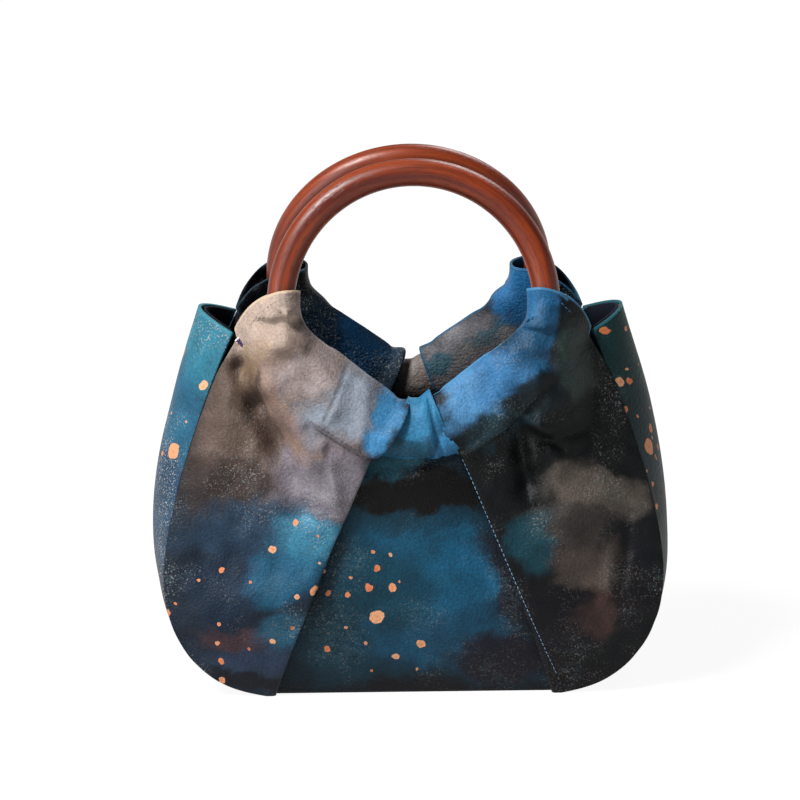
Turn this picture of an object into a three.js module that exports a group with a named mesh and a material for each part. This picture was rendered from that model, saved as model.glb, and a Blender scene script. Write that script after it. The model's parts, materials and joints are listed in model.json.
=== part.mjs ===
// Wooden handle bag: a soft pleated handbag with two round wooden rings as its handles.
// Millimetres, +Z up, front towards -Y, origin on the ground under the middle of the base.

import * as THREE from 'three';
import { mergeVertices } from 'three/addons/utils/BufferGeometryUtils.js';

// Cloth and fit
const CLOTH = 1.5;
const SEAM_GAP = 0.4;
const SLEEVE_SEAT = 0.8;
const LINING_CLOTH = 1.2;
const LINING_EASE = 1.2;
const LINING_CORNER = 4.3;
const LINING_ROOM = 5.5;
const LINING_FLOOR_EASE = 3;
const BASE_THICKNESS = 2;

// Body
const RIM_HEIGHT = 190.5;
const RIM_LENGTH = 184;
const RIM_DEPTH = 52;
const RIM_BOW = 20;
const BASE_LENGTH = 154;
const BASE_DEPTH = 90;
const PANEL_WIDTH = 260;
const CORNER_HEIGHT = 62;
const BELLY = 20;
const FOLD_RELIEF = 5;

// Wooden rings
const RING_DIAMETER = 149.6;
const RING_THICKNESS = 14.2;
const RING_HEIGHT = 206.5;
const RING_SPREAD = 68;
const RING_LEAN = THREE.MathUtils.degToRad(14);

// Sleeves round the rings
const SLEEVE_CLEARANCE = 0.45;
const SEAM_ALLOWANCE = 3.8;
const SLEEVE_FOLD_REACH = 41.7;
const SLEEVE_FOLD_TURN = THREE.MathUtils.degToRad(37.5);
const SLEEVE_FOLD_ROOM = 1;
const EAR_RISE = THREE.MathUtils.degToRad(15.3);
const SLEEVE_PARTING = THREE.MathUtils.degToRad(0.9);

// Pleats
const PLEAT_BASE = 147;
const PLEAT_BOW = 3;
const PLEAT_TUCK = 14;
const PLEAT_LAYER_GAP = 0.6;
const PLEAT_GAPE = 4;

// Where each pleat parts the sleeve, as angles from the bottom of the ring
const PARTINGS = {
  left: { atFold: THREE.MathUtils.degToRad(2.7), atSeam: THREE.MathUtils.degToRad(16.5) },
  right: { atFold: THREE.MathUtils.degToRad(9), atSeam: THREE.MathUtils.degToRad(17.6) },
};

// Shapes of the curves, as powers, and as shares of the stretch that each one follows
const SIDE_CURVE = 1.55;
const DRAW_START = 0.7;
const DRAW_CURVE = 1.2;
const BELLY_TOP = 0.42;
const BELLY_CURVE = 2.2;
const SEAM_PULL = 5;
const FOLD_FADE_AT_SEAM = 0.15;
const FOLD_FADE_AT_MIDDLE = 0.24;
const TUCK_AT_BASE = 0.1;
const LAP_AT_BASE = 0.08;
const LAP_AT_TOP = 0.8;
const EAR_START = 0.55;
const EAR_BEND_START = 0.6;
const EAR_SHOULDER = 0.35;
const EAR_CURVE = 2.2;
const BOW_CURVE = 1.1;
const LINING_DIP_CURVE = 2.6;
const LINING_ROOM_CURVE = 4;
const LINING_ROOM_AT_TOP = 0.6;
const LINING_DRAW_END = 0.3;
const TILTED_CLOTH = 1.15;

// Main folds of the cloth. Places are shares of half the panel width and of the rim height,
// widths are shares of half the panel width, and reliefs are shares of FOLD_RELIEF.
const FOLDS = [
  { side: 'left', fromX: 0.69, fromZ: 0.96, toX: 0.45, toZ: 0.61, width: 0.075, relief: -1.0 },
  { side: 'left', fromX: 0.55, fromZ: 0.90, toX: 0.29, toZ: 0.59, width: 0.09, relief: 0.7 },
  { side: 'left', fromX: 0.93, fromZ: 0.36, toX: 0.60, toZ: 0.40, width: 0.1, relief: -0.5 },
  { side: 'right', fromX: 0.42, fromZ: 0.80, toX: 0.47, toZ: 0.58, width: 0.07, relief: -0.9 },
  { side: 'right', fromX: 0.60, fromZ: 0.92, toX: 0.62, toZ: 0.76, width: 0.12, relief: 0.8 },
  { side: 'right', fromX: 0.88, fromZ: 0.62, toX: 0.70, toZ: 0.34, width: 0.1, relief: -0.5 },
];

// Smoothness of the meshes
const PANEL_COLUMNS = 12;
const PANEL_ROWS = 12;
const CENTRE_COLUMNS = 8;
const EDGE_FOLD_STEPS = 4;
const TUCK_STEPS = 2;
const GUSSET_COLUMNS = 8;
const LINING_ROWS = 6;
const LINING_COLUMNS = 10;
const LINING_SIDE_COLUMNS = 6;
const SLEEVE_STEPS = 12;
const KNOT_STEPS = 4;
const SLEEVE_SIDES = 12;
const RING_STEPS = 48;
const MERGE_DISTANCE = 1e-3;

const ringRadius = (RING_DIAMETER - RING_THICKNESS) / 2;
const sleeveInside = RING_THICKNESS / 2 + SLEEVE_CLEARANCE;
const foldRadius = CLOTH + PLEAT_LAYER_GAP / 2;
const pleatDepth = 2 * foldRadius + PLEAT_LAYER_GAP;
const liningGap = CLOTH + LINING_EASE;

const mix = THREE.MathUtils.lerp;
const clamp = THREE.MathUtils.clamp;

function ease(share) {
  return THREE.MathUtils.smoothstep(share, 0, 1);
}

// Outline of the body seen from the front

const cornerReach = (PANEL_WIDTH - BASE_LENGTH) / 2;
const sideTaper = (PANEL_WIDTH - RIM_LENGTH) / 2;

class SideOutline extends THREE.Curve {
  getPoint(t, target = new THREE.Vector3()) {
    const cornerShare = CORNER_HEIGHT / RIM_HEIGHT;
    if (t < cornerShare) {
      const turn = (t / cornerShare) * Math.PI / 2;
      const x = BASE_LENGTH / 2 + cornerReach * Math.sin(turn);
      return target.set(x, 0, CORNER_HEIGHT * (1 - Math.cos(turn)));
    }
    const rise = (t - cornerShare) / (1 - cornerShare);
    const x = PANEL_WIDTH / 2 - sideTaper * rise ** SIDE_CURVE;
    return target.set(x, 0, mix(CORNER_HEIGHT, RIM_HEIGHT, rise));
  }
}

const outline = new SideOutline();

function outwardNormal(v) {
  const tangent = outline.getTangentAt(v);
  return new THREE.Vector3(tangent.z, 0, -tangent.x);
}

function halfWidthAt(z) {
  if (z < CORNER_HEIGHT) {
    const drop = 1 - Math.max(z, 0) / CORNER_HEIGHT;
    return BASE_LENGTH / 2 + cornerReach * Math.sqrt(1 - drop * drop);
  }
  const rise = Math.min((z - CORNER_HEIGHT) / (RIM_HEIGHT - CORNER_HEIGHT), 1);
  return PANEL_WIDTH / 2 - sideTaper * rise ** SIDE_CURVE;
}

// Half the depth of the body at the seams: even low down, drawn in towards the rim
function seamHalfDepth(z) {
  const start = DRAW_START * CORNER_HEIGHT;
  const rise = clamp((z - start) / (RIM_HEIGHT - start), 0, 1);
  return mix(BASE_DEPTH / 2, RIM_DEPTH / 2, rise ** DRAW_CURVE);
}

function foldsAt(side, x, z) {
  const unitX = PANEL_WIDTH / 2;
  const here = new THREE.Vector3(x / unitX, 0, z / unitX);
  let relief = 0;
  for (const fold of FOLDS.filter((row) => row.side === side)) {
    const line = new THREE.Line3(
      new THREE.Vector3(fold.fromX, 0, fold.fromZ * RIM_HEIGHT / unitX),
      new THREE.Vector3(fold.toX, 0, fold.toZ * RIM_HEIGHT / unitX),
    );
    const nearest = line.closestPointToPoint(here, true, new THREE.Vector3());
    relief += fold.relief * Math.exp(-((nearest.distanceTo(here) / fold.width) ** 2));
  }
  const seamFade = ease((1 - x / halfWidthAt(z)) / FOLD_FADE_AT_SEAM);
  const middleFade = ease(x / (FOLD_FADE_AT_MIDDLE * unitX));
  return FOLD_RELIEF * relief * seamFade * middleFade;
}

// How far the body's smooth face stands from the middle plane
function swellAt(x, z) {
  const across = Math.min(x / halfWidthAt(z), 1);
  const risen = 1 - (1 - clamp(z / (BELLY_TOP * RIM_HEIGHT), 0, 1)) ** 2;
  return seamHalfDepth(z) + BELLY * risen * (1 - across ** BELLY_CURVE);
}

// Places on the plane of a leaning ring

function onRingPlane(radius, turn, proud) {
  const along = -radius * Math.cos(turn);
  return new THREE.Vector3(
    radius * Math.sin(turn),
    -RING_SPREAD / 2 + along * Math.sin(RING_LEAN) - proud * Math.cos(RING_LEAN),
    RING_HEIGHT + along * Math.cos(RING_LEAN) + proud * Math.sin(RING_LEAN),
  );
}

const rimDrop = (RING_HEIGHT - RIM_HEIGHT) / Math.cos(RING_LEAN);
const cornerRadius = Math.hypot(RIM_LENGTH / 2, rimDrop);
const cornerTurn = Math.atan2(RIM_LENGTH / 2, rimDrop);
const earShift = RING_SPREAD / 2 + rimDrop * Math.sin(RING_LEAN) - RIM_DEPTH / 2;
const sleeveSeamRadius = ringRadius + sleeveInside + SEAM_ALLOWANCE;

function seamRadiusAt(turn) {
  const earStart = cornerTurn * EAR_START;
  const share = ease((turn - earStart) / (cornerTurn - earStart));
  return mix(sleeveSeamRadius, cornerRadius - SLEEVE_SEAT, share);
}

function foldRadiusAt(turn) {
  const straight = SLEEVE_FOLD_REACH / Math.cos(turn - SLEEVE_FOLD_TURN);
  return Math.min(straight, ringRadius - sleeveInside - CLOTH - SLEEVE_FOLD_ROOM);
}

// A point of a sleeve, drawn back to the rim corner where it runs out past the ring
function onSleeve(radius, turn, proud) {
  const point = onRingPlane(radius, turn, proud);
  const bendStart = ringRadius + sleeveInside;
  const past = clamp((radius - bendStart) / (cornerRadius - bendStart), 0, 1);
  const bendTurn = EAR_BEND_START * cornerTurn;
  point.y += earShift * past * ease((turn - bendTurn) / (cornerTurn - bendTurn));
  return point;
}

// Closed wall between an outer and an inner grid of points

function wallBetween(outer, inner, closed) {
  const corners = [];
  const triangle = (a, b, c) => corners.push(...a.toArray(), ...b.toArray(), ...c.toArray());
  const quad = (a, b, c, d) => {
    triangle(a, b, c);
    triangle(a, c, d);
  };
  const last = outer.length - 1;
  const columns = outer[0].length;
  const steps = closed ? columns : columns - 1;
  for (let j = 0; j < steps; j += 1) {
    const k = (j + 1) % columns;
    for (let i = 0; i < last; i += 1) {
      quad(outer[i][j], outer[i + 1][j], outer[i + 1][k], outer[i][k]);
      quad(inner[i][j], inner[i][k], inner[i + 1][k], inner[i + 1][j]);
    }
    quad(outer[0][j], outer[0][k], inner[0][k], inner[0][j]);
    quad(outer[last][k], outer[last][j], inner[last][j], inner[last][k]);
  }
  if (!closed) {
    const end = columns - 1;
    for (let i = 0; i < last; i += 1) {
      quad(outer[i + 1][0], outer[i][0], inner[i][0], inner[i + 1][0]);
      quad(outer[i][end], outer[i + 1][end], inner[i + 1][end], inner[i][end]);
    }
  }
  return solidFrom(corners);
}

// Merge shared corners, drop triangles that closed to a line, and face the surface outwards
function solidFrom(corners) {
  const loose = new THREE.BufferGeometry();
  loose.setAttribute('position', new THREE.Float32BufferAttribute(corners, 3));
  const merged = mergeVertices(loose, MERGE_DISTANCE);
  const source = merged.index.array;
  const places = merged.attributes.position;
  const kept = [];
  const a = new THREE.Vector3();
  const b = new THREE.Vector3();
  const c = new THREE.Vector3();
  let volume = 0;
  for (let i = 0; i < source.length; i += 3) {
    const [p, q, r] = [source[i], source[i + 1], source[i + 2]];
    if (p !== q && q !== r && r !== p) {
      kept.push(p, q, r);
      a.fromBufferAttribute(places, p);
      b.fromBufferAttribute(places, q);
      c.fromBufferAttribute(places, r);
      volume += a.dot(b.cross(c));
    }
  }
  if (volume < 0) {
    kept.reverse();
  }
  merged.setIndex(kept);
  merged.computeVertexNormals();
  return merged;
}

// Inner grid of a wall: the outer grid moved in along its normals
function movedIn(rows, thickness) {
  const lastRow = rows.length - 1;
  const lastColumn = rows[0].length - 1;
  return rows.map((row, i) => row.map((point, j) => {
    const left = row[Math.max(j - 1, 0)];
    const right = row[Math.min(j + 1, lastColumn)];
    const across = right.clone().sub(left);
    const up = rows[Math.min(i + 1, lastRow)][j].clone().sub(rows[Math.max(i - 1, 0)][j]);
    const moved = point.clone().addScaledVector(across.cross(up).normalize(), thickness);
    moved.z = Math.max(moved.z, 0);
    return moved;
  }));
}

// A grid of the right front quarter, turned to another side of the bag
function turned(rows, mirrorX, mirrorY) {
  return rows.map((row) => row.map((p) => new THREE.Vector3(
    mirrorX ? -p.x : p.x,
    mirrorY ? -p.y : p.y,
    p.z,
  )));
}

// Open sheet of cloth, made for the right front and turned to its side of the bag
function clothSheet(rows, thickness, mirrorX, mirrorY) {
  const inner = movedIn(rows, thickness);
  return wallBetween(turned(rows, mirrorX, mirrorY), turned(inner, mirrorX, mirrorY), false);
}

// Pleated panels

function sleeveSeamPoint(turn) {
  const point = onSleeve(seamRadiusAt(turn) + SLEEVE_SEAT, turn, 0);
  point.y -= (CLOTH / 2) * (1 - turn / cornerTurn);
  return point;
}

function pleatLine(side, v) {
  const top = sleeveSeamPoint(PARTINGS[side].atSeam);
  const bow = PLEAT_BOW * 4 * v * (1 - v);
  return new THREE.Vector3(mix(PLEAT_BASE / 2, top.x, v) + bow, 0, top.z * v);
}

// A place on the body's face. At the top the cloth meets the sleeve's seam.
function onFace(side, x, z, v, seamPoint) {
  const y = -(swellAt(x, z) + foldsAt(side, x, z));
  const atTop = -(swellAt(seamPoint.x, seamPoint.z) + foldsAt(side, seamPoint.x, seamPoint.z));
  return new THREE.Vector3(x, y + (seamPoint.y - atTop) * v ** SEAM_PULL, z);
}

// Side panel: a four-sided patch between the outline, the pleat line, the ground and the sleeve
function sidePanelPoint(side, u, v) {
  const outer = outline.getPointAt(v);
  const inner = pleatLine(side, v);
  const bottom = new THREE.Vector3(mix(BASE_LENGTH / 2, PLEAT_BASE / 2, u), 0, 0);
  const top = sleeveSeamPoint(mix(cornerTurn, PARTINGS[side].atSeam, u));
  const rimCorner = outline.getPointAt(1);
  const pleatTop = pleatLine(side, 1);
  const patch = (axis) => {
    const sides = mix(outer[axis], inner[axis], u) + mix(bottom[axis], top[axis], v);
    const low = mix(axis === 'x' ? BASE_LENGTH / 2 : 0, axis === 'x' ? PLEAT_BASE / 2 : 0, u);
    return sides - mix(low, mix(rimCorner[axis], pleatTop[axis], u), v);
  };
  return onFace(side, patch('x'), patch('z'), v, top);
}

function sidePanelRow(side, v) {
  const row = [];
  for (let j = 0; j <= PANEL_COLUMNS; j += 1) {
    row.push(sidePanelPoint(side, j / PANEL_COLUMNS, v));
  }
  const edge = row[PANEL_COLUMNS];
  const seamPoint = sleeveSeamPoint(PARTINGS[side].atSeam);
  for (let k = 1; k <= EDGE_FOLD_STEPS; k += 1) {
    const angle = (k / EDGE_FOLD_STEPS) * Math.PI;
    row.push(new THREE.Vector3(
      edge.x - foldRadius * Math.sin(angle),
      edge.y + foldRadius * (1 - Math.cos(angle)),
      edge.z,
    ));
  }
  const tuck = PLEAT_TUCK * mix(TUCK_AT_BASE, 1, Math.sqrt(v));
  for (let k = 1; k <= TUCK_STEPS; k += 1) {
    const under = onFace(side, edge.x + (tuck * k) / TUCK_STEPS, edge.z, v, seamPoint);
    under.y += 2 * foldRadius;
    row.push(under);
  }
  return row;
}

function sidePanelRows(side) {
  const rows = [];
  for (let i = 0; i <= PANEL_ROWS; i += 1) {
    rows.push(sidePanelRow(side, i / PANEL_ROWS));
  }
  return rows;
}

function centrePanelRow(v) {
  const row = [];
  const depth = pleatDepth + PLEAT_GAPE * Math.sin(Math.PI * v);
  const lap = PLEAT_TUCK * mix(LAP_AT_BASE, LAP_AT_TOP, Math.sqrt(v));
  const rightEdge = pleatLine('right', v).x + lap;
  const leftEdge = -pleatLine('left', v).x - lap;
  for (let j = 0; j <= CENTRE_COLUMNS; j += 1) {
    const x = mix(rightEdge, leftEdge, j / CENTRE_COLUMNS);
    const side = x > 0 ? 'right' : 'left';
    const seamPoint = sleeveSeamPoint(Math.asin(Math.abs(x) / (sleeveSeamRadius + SLEEVE_SEAT) * v ** 3));
    const point = onFace(side, Math.abs(x), seamPoint.z * v, v, seamPoint);
    row.push(new THREE.Vector3(x, point.y + depth, point.z));
  }
  return row;
}

function centrePanelRows() {
  const rows = [];
  for (let i = 0; i <= PANEL_ROWS; i += 1) {
    rows.push(centrePanelRow(i / PANEL_ROWS));
  }
  return rows;
}

// Sleeves: oval cloth tubes round the ring, drawn out to a straight fold on the inner side

function sleeveTurn(side, share, along, slack) {
  const parting = mix(PARTINGS[side].atFold, PARTINGS[side].atSeam, share) + slack;
  const shoulder = Math.max(share - EAR_SHOULDER, 0) / (1 - EAR_SHOULDER);
  const end = cornerTurn + EAR_RISE * (1 - shoulder ** EAR_CURVE);
  return mix(parting, end, along);
}

function sleeveRing(turnAt, thickness) {
  const loops = { outer: [], inner: [] };
  for (let k = 0; k < SLEEVE_SIDES; k += 1) {
    const angle = (2 * Math.PI * k) / SLEEVE_SIDES;
    const turn = turnAt((1 + Math.cos(angle)) / 2);
    const seamReach = seamRadiusAt(Math.abs(turn)) - ringRadius;
    const foldReach = ringRadius - foldRadiusAt(Math.abs(turn));
    const towardsSeam = Math.cos(angle) > 0;
    const outReach = towardsSeam ? seamReach : foldReach;
    const inReach = towardsSeam
      ? Math.max(sleeveInside, seamReach - SEAM_ALLOWANCE)
      : foldReach - thickness;
    const outHeight = (sleeveInside + thickness) * Math.sin(angle);
    const inHeight = sleeveInside * Math.sin(angle);
    loops.outer.push(sleevePoint(ringRadius + outReach * Math.cos(angle), turn, outHeight));
    loops.inner.push(sleevePoint(ringRadius + inReach * Math.cos(angle), turn, inHeight));
  }
  return loops;
}

function sleevePoint(radius, turn, proud) {
  const point = onSleeve(radius, Math.abs(turn), proud);
  point.x *= Math.sign(turn) || 1;
  return point;
}

function sideSleeveLoops(side) {
  const loops = [];
  for (let i = 0; i <= SLEEVE_STEPS; i += 1) {
    loops.push(sleeveRing((share) => sleeveTurn(side, share, i / SLEEVE_STEPS, 0), CLOTH));
  }
  return loops;
}

function centreSleeveLoops() {
  const loops = [];
  for (let i = 0; i <= KNOT_STEPS; i += 1) {
    loops.push(sleeveRing((share) => mix(
      -sleeveTurn('left', share, 0, -SLEEVE_PARTING),
      sleeveTurn('right', share, 0, -SLEEVE_PARTING),
      i / KNOT_STEPS,
    ), CLOTH));
  }
  return loops;
}

// Gussets: strips between the seams, bowed out more towards the rim

function gussetBow(v) {
  return RIM_BOW * (outline.getPointAt(v).z / RIM_HEIGHT) ** BOW_CURVE;
}

function gussetHalfDepth(z) {
  return seamHalfDepth(z) - TILTED_CLOTH * CLOTH - SEAM_GAP;
}

function gussetRows() {
  const rows = [];
  for (let i = 0; i <= PANEL_ROWS; i += 1) {
    const v = i / PANEL_ROWS;
    const seam = outline.getPointAt(v);
    const out = outwardNormal(v);
    const half = gussetHalfDepth(seam.z);
    const row = [];
    for (let j = 0; j <= GUSSET_COLUMNS; j += 1) {
      const across = 1 - (2 * j) / GUSSET_COLUMNS;
      const point = seam.clone().addScaledVector(out, gussetBow(v) * (1 - across * across));
      point.y = half * across;
      row.push(point);
    }
    rows.push(row);
  }
  return rows;
}

// Lining: front and back, two side strips and a floor, inside the panels and the gussets

// A place on the lining beside the gusset, a cloth and a gap inside its bowed strip
function liningBesideGusset(v, y) {
  const seam = outline.getPointAt(v);
  const half = gussetHalfDepth(seam.z);
  const bow = gussetBow(v);
  const slope = (2 * bow * y) / (half * half);
  const inside = bow * (1 - (y / half) ** 2) - liningGap * Math.hypot(1, slope);
  const point = seam.addScaledVector(outwardNormal(v), inside);
  point.y = y;
  return point;
}

function liningCorner(v) {
  const drawn = pleatDepth * (1 - ease(v / LINING_DRAW_END));
  const cornerDepth = seamHalfDepth(outline.getPointAt(v).z) - LINING_CORNER - drawn;
  return liningBesideGusset(v, cornerDepth);
}

const liningFloor = Math.max(liningCorner(0).z, BASE_THICKNESS + SEAM_GAP);

function liningFacePoint(v, share) {
  const corner = liningCorner(v);
  const middleTop = sleeveSeamPoint(0).z - SEAM_ALLOWANCE;
  const x = share * corner.x;
  const across = Math.abs(share);
  const z = mix(mix(corner.z, middleTop, v), corner.z, across ** LINING_DIP_CURVE);
  const spread = 1 - across ** LINING_ROOM_CURVE;
  const room = (pleatDepth + LINING_ROOM) * mix(1, LINING_ROOM_AT_TOP, v ** LINING_ROOM_CURVE);
  const inset = swellAt(corner.x, corner.z) - corner.y + room * spread;
  return new THREE.Vector3(x, inset - swellAt(Math.abs(x), z), Math.max(z, liningFloor));
}

function liningFaceRows() {
  const rows = [];
  for (let i = 0; i <= LINING_ROWS; i += 1) {
    const row = [];
    for (let j = 0; j <= LINING_COLUMNS; j += 1) {
      row.push(liningFacePoint(i / LINING_ROWS, 1 - (2 * j) / LINING_COLUMNS));
    }
    rows.push(row);
  }
  return rows;
}

function liningSideRows() {
  const rows = [];
  for (let i = 0; i <= LINING_ROWS; i += 1) {
    const v = i / LINING_ROWS;
    const eased = LINING_FLOOR_EASE * (1 - ease(v / LINING_DRAW_END));
    const half = liningCorner(v).y - TILTED_CLOTH * LINING_CLOTH - SEAM_GAP - eased;
    const row = [];
    for (let j = 0; j <= LINING_SIDE_COLUMNS; j += 1) {
      const point = liningBesideGusset(v, half * (1 - (2 * j) / LINING_SIDE_COLUMNS));
      point.z = Math.max(point.z, liningFloor);
      row.push(point);
    }
    rows.push(row);
  }
  return rows;
}

function liningFloorRows() {
  const clearance = TILTED_CLOTH * LINING_CLOTH + SEAM_GAP;
  const reach = (liningCorner(0).x - clearance) / liningCorner(0).x;
  return [1, 0, -1].map((way) => {
    const row = [];
    for (let j = 0; j <= LINING_COLUMNS; j += 1) {
      const edge = liningFacePoint(0, reach * (1 - (2 * j) / LINING_COLUMNS));
      const y = edge.y + clearance + LINING_FLOOR_EASE / 2;
      row.push(new THREE.Vector3(edge.x, way * y, liningFloor + LINING_CLOTH));
    }
    return row;
  });
}

// The bag

const bag = new THREE.Group();

function addPiece(name, geometry, look) {
  const mesh = new THREE.Mesh(geometry, new THREE.MeshStandardMaterial({ metalness: 0, ...look }));
  mesh.name = name;
  bag.add(mesh);
  return mesh;
}

const WOOD = { color: 0x6e2c1e, roughness: 0.3 };
const TAUPE_CLOTH = { color: 0x6c6168, roughness: 0.85 };
const BLUE_CLOTH = { color: 0x4f86b0, roughness: 0.7 };
const TEAL_CLOTH = { color: 0x1f5468, roughness: 0.85 };
const DARK_CLOTH = { color: 0x262c33, roughness: 0.85 };
const LINING_LOOK = { color: 0x0d0d12, roughness: 0.9 };

for (const face of ['front', 'back']) {
  const atBack = face === 'back';
  const ring = addPiece(
    `${face}_ring`,
    new THREE.TorusGeometry(ringRadius, RING_THICKNESS / 2, SLEEVE_SIDES, RING_STEPS),
    WOOD,
  );
  ring.position.set(0, (atBack ? 1 : -1) * RING_SPREAD / 2, RING_HEIGHT);
  ring.rotation.x = Math.PI / 2 + (atBack ? RING_LEAN : -RING_LEAN);

  for (const side of ['left', 'right']) {
    const mirrored = side === 'left';
    addPiece(
      `${face}_${side}_panel`,
      clothSheet(sidePanelRows(side), CLOTH, mirrored, atBack),
      mirrored ? TAUPE_CLOTH : DARK_CLOTH,
    );
    const sleeve = sideSleeveLoops(side);
    const outer = turned(sleeve.map((loop) => loop.outer), mirrored, atBack);
    const inner = turned(sleeve.map((loop) => loop.inner), mirrored, atBack);
    addPiece(`${face}_${side}_casing`, wallBetween(outer, inner, true), BLUE_CLOTH);
  }

  addPiece(`${face}_centre_panel`, clothSheet(centrePanelRows(), CLOTH, false, atBack), TEAL_CLOTH);
  const knot = centreSleeveLoops();
  const knotOuter = turned(knot.map((loop) => loop.outer), false, atBack);
  const knotInner = turned(knot.map((loop) => loop.inner), false, atBack);
  addPiece(`${face}_centre_casing`, wallBetween(knotOuter, knotInner, true), BLUE_CLOTH);
}

for (const side of ['left', 'right']) {
  const mirrored = side === 'left';
  addPiece(`${side}_gusset`, clothSheet(gussetRows(), CLOTH, mirrored, false), TEAL_CLOTH);
  addPiece(`${side}_lining`, clothSheet(liningSideRows(), LINING_CLOTH, mirrored, false), LINING_LOOK);
}

const base = addPiece(
  'base',
  new THREE.BoxGeometry(
    BASE_LENGTH - 2 * SEAM_GAP,
    BASE_DEPTH - 2 * (pleatDepth + CLOTH + SEAM_GAP),
    BASE_THICKNESS,
  ),
  DARK_CLOTH,
);
base.position.z = BASE_THICKNESS / 2;

addPiece('front_lining', clothSheet(liningFaceRows(), LINING_CLOTH, false, false), LINING_LOOK);
addPiece('back_lining', clothSheet(liningFaceRows(), LINING_CLOTH, false, true), LINING_LOOK);
addPiece('base_lining', clothSheet(liningFloorRows(), LINING_CLOTH, false, false), LINING_LOOK);

export default bag;
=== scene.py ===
import json
import math

import bmesh
import bpy
import numpy as np
from mathutils import Matrix, Vector, bvhtree, kdtree, noise

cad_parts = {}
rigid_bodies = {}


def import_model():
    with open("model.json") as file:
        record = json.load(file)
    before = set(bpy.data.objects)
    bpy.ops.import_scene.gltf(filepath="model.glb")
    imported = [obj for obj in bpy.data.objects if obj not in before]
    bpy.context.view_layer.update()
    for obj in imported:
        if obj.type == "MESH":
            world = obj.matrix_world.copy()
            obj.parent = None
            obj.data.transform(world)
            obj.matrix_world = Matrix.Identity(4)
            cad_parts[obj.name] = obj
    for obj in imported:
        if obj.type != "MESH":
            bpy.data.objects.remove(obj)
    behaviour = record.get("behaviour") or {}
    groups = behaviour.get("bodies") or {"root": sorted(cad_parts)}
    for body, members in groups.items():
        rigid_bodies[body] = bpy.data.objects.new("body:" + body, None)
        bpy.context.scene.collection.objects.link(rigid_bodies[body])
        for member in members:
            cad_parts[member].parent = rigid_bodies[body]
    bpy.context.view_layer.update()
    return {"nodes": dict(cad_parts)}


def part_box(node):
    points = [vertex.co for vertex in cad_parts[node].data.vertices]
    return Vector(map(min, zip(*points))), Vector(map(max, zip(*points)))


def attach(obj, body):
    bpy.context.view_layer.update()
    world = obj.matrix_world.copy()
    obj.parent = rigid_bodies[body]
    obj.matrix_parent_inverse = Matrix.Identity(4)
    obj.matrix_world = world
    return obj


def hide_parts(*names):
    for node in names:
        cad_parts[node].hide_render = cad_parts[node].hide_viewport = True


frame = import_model()

# The camera stands two metres away, a little above the bag and a touch to its left.
# Its lens takes in 0.410 m across the plane of the front ring.
CAMERA_AZIMUTH = math.radians(-2)
CAMERA_ELEVATION = math.radians(16)
CAMERA_DISTANCE = 2.0
SENSOR_WIDTH = 36
VIEW_WIDTH = 0.410
VIEW_CENTRE = Vector((-0.0070, -0.034, 0.1565))

scene = bpy.context.scene
scene.view_settings.view_transform = "Standard"


def add_object(name, data):
    placed = bpy.data.objects.new(name, data)
    scene.collection.objects.link(placed)
    return placed


camera_data = bpy.data.cameras.new("photo_camera")
camera_data.sensor_width = SENSOR_WIDTH
camera_data.lens = SENSOR_WIDTH * CAMERA_DISTANCE / VIEW_WIDTH
camera = add_object("photo_camera", camera_data)
level_part = math.cos(CAMERA_ELEVATION)
towards_camera = Vector((
    math.sin(CAMERA_AZIMUTH) * level_part,
    -math.cos(CAMERA_AZIMUTH) * level_part,
    math.sin(CAMERA_ELEVATION),
))
camera.location = VIEW_CENTRE + CAMERA_DISTANCE * towards_camera
camera.rotation_euler = towards_camera.to_track_quat("Z", "Y").to_euler()
scene.camera = camera


# The studio is a lit white floor, so the bag throws only a faint shadow, in a room that is white at
# eye level and dim above. A strong soft light comes from the upper left, and a window at the left
# and a strip behind line the rings.
MILLIMETRES = 1000
WHITE = (1, 1, 1, 1)
FLOOR_SIZE = 12.0
FLOOR_BODY = (0.05, 0.05, 0.05, 1)
FLOOR_GLOW = 0.93
ROOM_LIGHT = 0.12
EYE_LEVEL_LIGHT = 0.95
EYE_LEVEL_FADE = (0.12, 0.30)
SUN_WAY = Vector((-0.62, -0.40, 0.95))
SUN_STRENGTH = 6.5
SUN_SOFTNESS = math.radians(16)
LAMPS = [
    {"name": "left_window", "place": (-1.1, -1.0, 0.5), "size": 0.6, "power": 9},
    {"name": "back_strip", "place": (0.5, 1.1, 1.1), "size": 0.6, "power": 10},
]
SCREEN_GAMMA = 2.2
ENDLESS = 1000


class Wire:
    """One value in a material. Sums with it add Math nodes."""

    def __init__(self, recipe, socket):
        self.recipe = recipe
        self.socket = socket

    def other(self, output):
        """Another output of the same node."""
        return Wire(self.recipe, self.socket.node.outputs[output])

    def _sum(self, operation, first, second):
        return self.recipe.node("Math", {"operation": operation}, {0: first, 1: second})

    def __add__(self, other):
        return self._sum("ADD", self, other)

    def __sub__(self, other):
        return self._sum("SUBTRACT", self, other)

    def __mul__(self, other):
        return self._sum("MULTIPLY", self, other)

    def __rsub__(self, other):
        return self._sum("SUBTRACT", other, self)

    __radd__ = __add__
    __rmul__ = __mul__


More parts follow.
